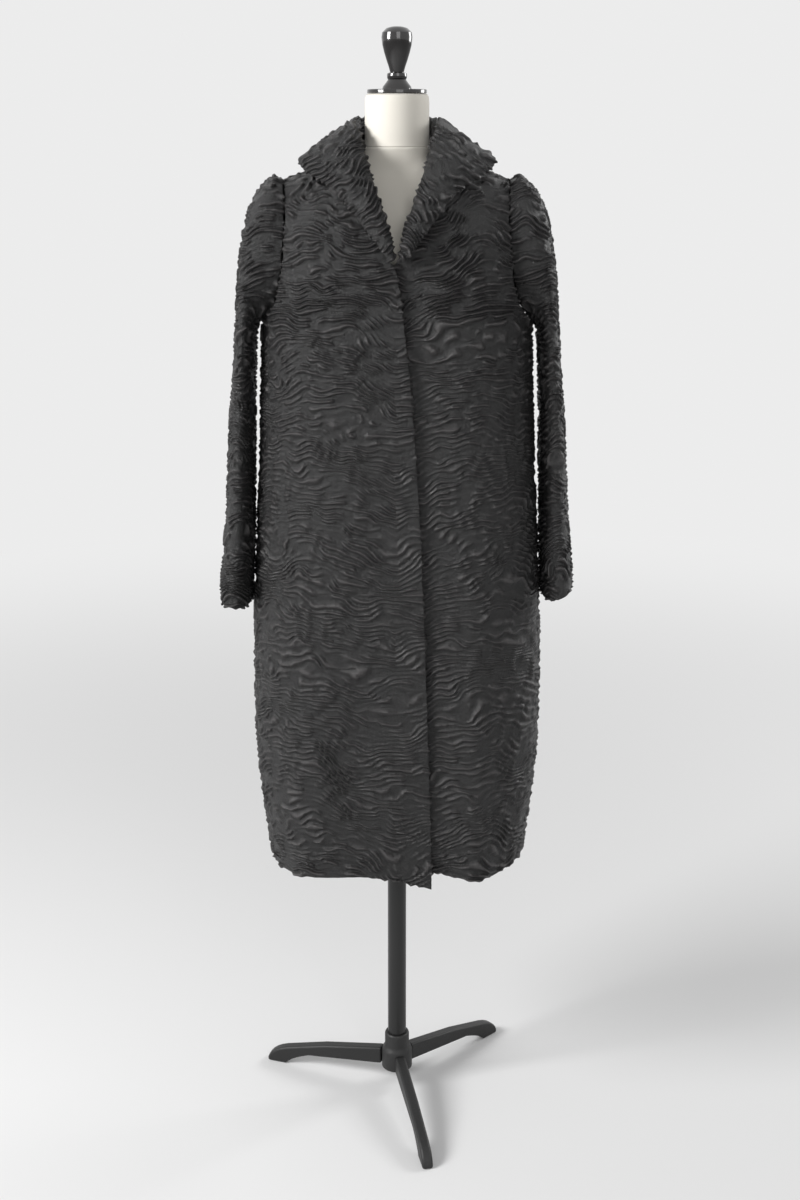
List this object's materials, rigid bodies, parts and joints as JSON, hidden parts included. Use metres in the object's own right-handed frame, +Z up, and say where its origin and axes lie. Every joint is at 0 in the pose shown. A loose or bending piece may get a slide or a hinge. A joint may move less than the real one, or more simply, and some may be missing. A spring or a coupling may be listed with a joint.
{
  "type": "lamb-fur coat on a limbless tailor's dress form with a tripod stand",
  "caption": "Knee-length curly lamb-fur coat with a winged collar, hollow, worn by a limbless dress form on a pole and tripod.",
  "frame": {"origin": "on the floor, in the middle of the outer box", "axes": "+Z up the pole, -Y out of the coat's front, +X towards the coat's own left side"},
  "size_m": [0.546, 0.387, 1.72],
  "materials": {
    "fur": "black karakul lamb fur, glossy curls",
    "linen": "off-white linen cover",
    "lacquer": "gloss black lacquer",
    "black_steel": "semi-gloss black",
    "cast_iron": "black enamel over cast iron"
  },
  "bodies": {
    "root": {"front_right": "fur", "front_left": "fur", "back": "fur", "sleeve_right": "fur", "sleeve_left": "fur", "collar_right": "fur", "collar_left": "fur", "torso": "linen", "neck": "linen", "neck_cap": "lacquer", "finial": "lacquer", "pole": "black_steel", "hub": "cast_iron", "leg_front": "cast_iron", "leg_right": "cast_iron", "leg_left": "cast_iron"}
  },
  "joints": []
}
